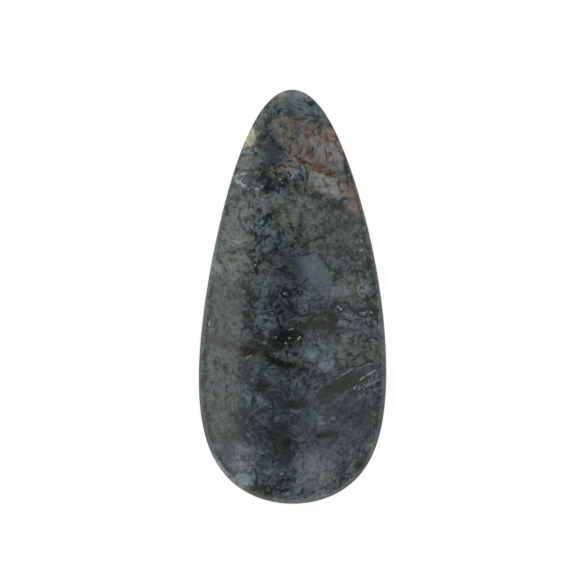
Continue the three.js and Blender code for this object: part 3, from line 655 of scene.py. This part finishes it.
def paint(agate):
    noise.seed_set(wanders["seed"])  # without a seed each run would wander its own way
    mesh = agate.data
    places = points(mesh)
    depth = np.clip(domeHeight(places[:, 0], places[:, 1]) - places[:, 2], 0, None)
    moved = places + wander(places, *wanders["bend"]) + wander(places, *wanders["curl"])
    moved += wander(places, *wanders["drift"]) * depth[:, None] * wanders["driftShare"]
    x, y = moved[:, 0], moved[:, 1]

    broken = wander(places, *wanders["ragged"]) + wander(places, *wanders["crumbly"])
    colour = np.tile(linear(palette[ground["base"]]), (len(x), 1))
    for order, (name, *patch, strength) in enumerate(ground["patches"]):
        radius = patchRadius(x, y, patch) + broken[:, order % 3]
        share = strength * (1 - smooth(*edges["groundPatch"], radius))
        colour += (linear(palette[name]) - colour) * share[:, None]

    pane = smooth(*window["rim"], insideDepth(x, y, window["outline"]))
    pane *= 1 - window["leftCloud"] * smooth(*window["leftClouded"], x + window["leftLean"] * y)
    pane *= 1 - window["lowCloud"] * smooth(*window["lowClouded"], y)
    clear = smooth(*window["cleared"], x - window["clearLean"] * (window["clearMiddle"] - y))
    deepColour, clearColour = linear(palette["windowDeep"]), linear(palette["windowClear"])
    paneColour = deepColour + clear[:, None] * (clearColour - deepColour)
    colour += (paneColour - colour) * pane[:, None]

    lively = np.ones(len(x))
    for *patch, amount in calm:
        lively += (amount - lively) * (1 - smooth(*edges["patch"], patchRadius(x, y, patch)))
    lively *= 1 - window["quiet"] * pane

    # painted shade: the ground colour is darkened on the steep edge, where less light comes back
    edge = smooth(*stone["steep"], domeSlope(places[:, 0], places[:, 1]))
    colour *= 1 - stone["edgePaintedShade"] * edge[:, None]

    fading = np.clip(edges["gap"] + edges["gapSwing"] * broken[:, 1], 0, edges["mostGap"])
    marked = (places[:, 0] + x) / 2, (places[:, 1] + y) / 2  # cracks and glints bend less
    bared = 1 - window["bare"] * pane
    grown = [spread(x, y, mineral, fading) * bared for mineral in growth.values()]
    layers = {
        "ground": np.column_stack([colour, np.ones(len(x))]),
        "growth": np.column_stack([*grown, lively]),
        "marks": np.column_stack([spread(*marked, mineral, fading) for mineral in marks.values()]),
    }
    for name, values in layers.items():
        layer = mesh.color_attributes.new(name, "FLOAT_COLOR", "POINT")
        layer.data.foreach_set("color", values.ravel())
    flow = mesh.attributes.new("flow", "FLOAT_VECTOR", "POINT")
    flow.data.foreach_set("vector", drawnAlong(places).ravel())


# Moss agate: chalcedony with green, black and rusty growths, ground and polished. It gives the eye
# an even soft gloss over a cloudy, slightly deep body. Patterns are in millimetres.

polish = {
    "ior": 1.54,  # chalcedony
    "roughness": 0.16, "mossRoughness": 0.3, "relief": 0.012,
    "glow": 0.12, "glowDepth": 0.6,  # light that soaks in, and how far
    "sway": (2.4, 0.9), "curl": (0.7, 0.3), "pushDetail": 2,  # size of the curls, and their reach
    # noises: size, detail and roughness
    "broad": (2.2, 3, 0.55), "medium": (0.9, 3, 0.6), "fine": (0.36, 3, 0.6), "grain": (0.16, 2, 0.6),
    "hues": (0.9, 4, 0.7),
    # rounded cells: size and smoothness
    "cells": (0.95, 0.6), "beads": (0.46, 0.4),
    # thin curling lines: size and width, and the detail and roughness of their noise
    "thread": (1.3, 0.03), "paleThread": (1.05, 0.022), "hair": (0.55, 0.05), "lineNoise": (2, 0.5),
    "gapStart": 0.875, "speckStart": 0.58,  # these make up for the means of what is added
    "brightness": 1.42, "mottle": 0.62, "hueRange": (0.32, 0.68),
    # the tints at the low and the high end of that range
    "tints": {
        "Red": ((0.86, 0.99, 1.1), (1.13, 1.0, 0.91)),
        "Green": ((1.0, 1.07, 0.93), (1.02, 0.95, 1.06)),
    },
}


def agateMaterial():
    material = bpy.data.materials.new("polishedMossAgate")
    material.use_nodes = True
    tree = material.node_tree
    tree.nodes.clear()

    def add(kind, links, output=0, **settings):
        # one output of a new node
        node = tree.nodes.new("ShaderNode" + kind)
        for name, value in settings.items():
            setattr(node, name, value)
        for socket, value in links.items():
            if isinstance(value, bpy.types.NodeSocket):
                tree.links.new(value, node.inputs[socket])
            else:
                node.inputs[socket].default_value = value
        return node.outputs[output]

    def attribute(name, output="Color"):
        return add("Attribute", {}, output, attribute_name=name)

    def mixture(start, *parts):
        # start plus each part times its share
        total = start
        for part, share in parts:
            total = add("Math", {0: part, 1: share, 2: total}, operation="MULTIPLY_ADD")
        return total

    # the place in millimetres, pushed about, so that the growths curl
    place = attribute("flow", "Vector")
    pushed = place
    for size, reach in (polish["sway"], polish["curl"]):
        push = add("TexNoise", {"Vector": place, "Scale": 1 / size, "Detail": polish["pushDetail"]},
                   "Color")
        push = add("VectorMath", {0: push, 1: (0.5,) * 3}, operation="SUBTRACT")
        push = add("VectorMath", {0: push, "Scale": 2 * reach}, operation="SCALE")
        pushed = add("VectorMath", {0: pushed, 1: push}, operation="ADD")

    def pattern(size, detail, roughness, output="Fac", vector=pushed):
        return add("TexNoise", {"Vector": vector, "Scale": 1 / size, "Detail": detail,
                                "Roughness": roughness}, output)

    def ridge(size, width):
        # 1 on thin curling lines, 0 away from them
        value = add("Math", {0: pattern(size, *polish["lineNoise"]), 1: 0.5}, operation="SUBTRACT")
        value = add("Math", {0: value}, operation="ABSOLUTE")
        return add("MapRange", {"Value": value, "From Max": width, "To Min": 1.0, "To Max": 0.0})

    def rounded(size, smoothness):
        # 0 in the middle of each rounded cell, and more towards its edge
        return add("TexVoronoi", {"Vector": pushed, "Scale": 1 / size, "Smoothness": smoothness},
                   "Distance", feature="SMOOTH_F1")

    def tinted(colour, value, low, high):
        # colour drifts from one tint to the other as value goes from low to high
        least, most = polish["hueRange"]
        drift = add("MapRange", {"Value": value, "From Min": least, "From Max": most})
        drift = add("Mix", {0: drift, 6: (*low, 1), 7: (*high, 1)}, 2, data_type="RGBA")
        return add("VectorMath", {0: colour, 1: drift}, operation="MULTIPLY")

    broad, medium, fine = (pattern(*polish[name]) for name in ("broad", "medium", "fine"))
    grain = pattern(*polish["grain"], vector=place)
    cells, beads = (rounded(*polish[name]) for name in ("cells", "beads"))
    thread, paleThread, hair = (ridge(*polish[name]) for name in ("thread", "paleThread", "hair"))

    # about 0 to 1: low in pale rounded cells, high in the gaps between them, where moss comes first
    gap = mixture(polish["gapStart"], (broad, -1.0), (medium, -1.1), (fine, -0.7), (cells, 0.5),
                  (beads, 0.6), (thread, 0.2), (hair, 0.16), (paleThread, -0.16))
    liveliness = attribute("growth", "Alpha")
    gap = add("Math", {0: gap, 1: liveliness, 2: 0.5}, operation="MULTIPLY_ADD")

    # mottled chalcedony, calmer in some places
    light = mixture(polish["brightness"], (gap, -polish["mottle"]))
    colour = add("VectorMath", {0: attribute("ground"), "Scale": light}, operation="SCALE")
    hues = add("SeparateColor", {"Color": pattern(*polish["hues"], "Color")}).node.outputs
    for channel, tints in polish["tints"].items():
        colour = tinted(colour, hues[channel], *tints)

    growths = add("SeparateColor", {"Color": attribute("growth")}).node.outputs
    marking = add("SeparateColor", {"Color": attribute("marks")}).node.outputs
    flakes = attribute("marks", "Alpha")
    gaps = mixture(0.1, (gap, 1.0), (grain, 0.8))
    islands = mixture(1.1, (gap, -1.0), (grain, 0.8))
    layers = [
        # name, colour, thickness, the pattern it follows, how crisp, how strong
        ("oliveMoss", "55543f", growths["Blue"], gap, 0.4, 0.55),
        ("rust", "7a4822", marking["Blue"], gaps, 0.35, 0.8),
        ("greenMoss", "2a3535", growths["Red"], gap, 0.5, 0.66),
        ("darkMoss", "1a2122", growths["Red"], gap, 0.14, 0.3),
        ("manganese", "0d1113", growths["Green"], gap, 0.16, 0.9),
        ("vein", "1a2123", marking["Red"], gaps, 0.3, 0.8),
        ("flake", "97a5ac", flakes, islands, 0.3, 0.6),
        # pale quartz specks together with painted highlights, near white
        ("quartzAndGlint", "bcc7cd", marking["Green"], gaps, 0.2, 0.85),
    ]
    covers = {}
    for name, hexColour, thick, along, crisp, strength in layers:
        # growths fill what is left of the pattern, marks keep to their places
        meets, level = ("ADD", 1.0) if along == gap else ("MULTIPLY", 0.5)
        cover = add("Math", {0: thick, 1: along}, operation=meets)
        cover = add("MapRange", {"Value": cover, "From Min": level - crisp, "From Max": level + crisp,
                                 "To Max": strength}, interpolation_type="SMOOTHSTEP")
        covers[name] = cover
        colour = add("Mix", {0: cover, 6: colour, 7: (*linear(hexColour), 1)}, 2, data_type="RGBA")

    speck = mixture(polish["speckStart"], (grain, 0.6), (fine, 0.5), (beads, -0.3))
    colour = add("VectorMath", {0: colour, "Scale": speck}, operation="SCALE")

    dull = add("Math", {0: covers["darkMoss"], 1: covers["manganese"]}, operation="MAXIMUM")
    roughness = add("MapRange", {"Value": dull, "To Min": polish["roughness"],
                                 "To Max": polish["mossRoughness"]})
    height = add("Math", {0: dull, 1: -1.0, 2: grain}, operation="MULTIPLY_ADD")
    bump = add("Bump", {"Height": height, "Distance": polish["relief"] * mm, "Strength": 1.0})
    skin = add("BsdfPrincipled", {
        "Base Color": colour, "Roughness": roughness, "IOR": polish["ior"], "Normal": bump,
        "Subsurface Weight": polish["glow"], "Subsurface Radius": (1, 1, 1),
        "Subsurface Scale": polish["glowDepth"] * mm,
    })
    surface = tree.nodes.new("ShaderNodeOutputMaterial").inputs["Surface"]
    tree.links.new(skin, surface)
    return material


agate = modelStone()
print("stone modelled:", len(agate.data.polygons), "faces")
paint(agate)
print("growths painted")
agate.data.transform(((mm, 0, 0, 0), (0, mm, 0, 0), (0, 0, mm, 0), (0, 0, 0, 1)))
agate.data.update()
bpy.ops.object.select_all(action="DESELECT")
agate.select_set(True)
bpy.context.view_layer.objects.active = agate
bpy.ops.object.shade_smooth_by_angle(angle=np.radians(stone["sharpAngle"]))
agate.data.materials.clear()
agate.data.materials.append(agateMaterial())
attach(agate, "root")
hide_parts("moss_agate")

# Matt white paper, also lit from below: an even pale ground with no gloss. Two long softboxes and
# a dim room light the stone, and the camera looks straight down.

studio = {
    "floorSize": 4.0, "floorColour": "f4f4f2", "floorRoughness": 0.7, "floorGlow": 0.73,
    "roomLight": 0.1,
    "boxes": [
        # name, degrees from upright where it starts and ends (left is minus), radiance, length
        ("leftSoftbox", -78, -36, 1.1, 0.7),
        ("rightSoftbox", 7, 76, 0.5, 0.7),
    ],
    "boxDistance": 0.35,
    "cameraHeight": 0.7, "cameraX": -0.57, "cameraY": 1.10,  # millimetres from the stone's middle
    "frameWidth": 72.45, "sensor": 36.0,
}


def makeStudio():
    bpy.ops.object.select_all(action="DESELECT")
    bpy.ops.mesh.primitive_plane_add(size=studio["floorSize"])
    floor = bpy.context.active_object
    floor.name = "floor"
    paper = bpy.data.materials.new("litWhitePaper")
    paper.use_nodes = True
    sheet = paper.node_tree.nodes["Principled BSDF"].inputs
    sheet["Base Color"].default_value = (*linear(studio["floorColour"]), 1)
    sheet["Roughness"].default_value = studio["floorRoughness"]
    sheet["Emission Color"].default_value = (1, 1, 1, 1)
    sheet["Emission Strength"].default_value = studio["floorGlow"]
    floor.data.materials.append(paper)

    for name, start, end, radiance, length in studio["boxes"]:
        turn, half = np.radians((start + end) / 2), np.radians((end - start) / 2)
        width = 2 * studio["boxDistance"] * np.tan(half)
        light = bpy.data.lights.new(name, "AREA")
        light.shape = "RECTANGLE"
        light.size, light.size_y = width, length
        light.energy = radiance * np.pi * width * length
        box = bpy.data.objects.new(name, light)
        box.location = Vector((np.sin(turn), 0, np.cos(turn))) * studio["boxDistance"]
        box.rotation_euler = (0, turn, 0)
        box.visible_camera = False
        bpy.context.scene.collection.objects.link(box)

    world = bpy.data.worlds.new("dimRoom")
    world.use_nodes = True
    room = world.node_tree.nodes["Background"].inputs
    room["Color"].default_value = (1, 1, 1, 1)
    room["Strength"].default_value = studio["roomLight"]
    bpy.context.scene.world = world

    camera = bpy.data.cameras.new("camera")
    camera.sensor_width = studio["sensor"]
    camera.lens = studio["sensor"] * studio["cameraHeight"] / (studio["frameWidth"] * mm)
    eye = bpy.data.objects.new("camera", camera)
    eye.location = (studio["cameraX"] * mm, studio["cameraY"] * mm, studio["cameraHeight"])
    bpy.context.scene.collection.objects.link(eye)
    bpy.context.scene.camera = eye
    bpy.context.scene.view_settings.view_transform = "Standard"


makeStudio()
print("studio ready")
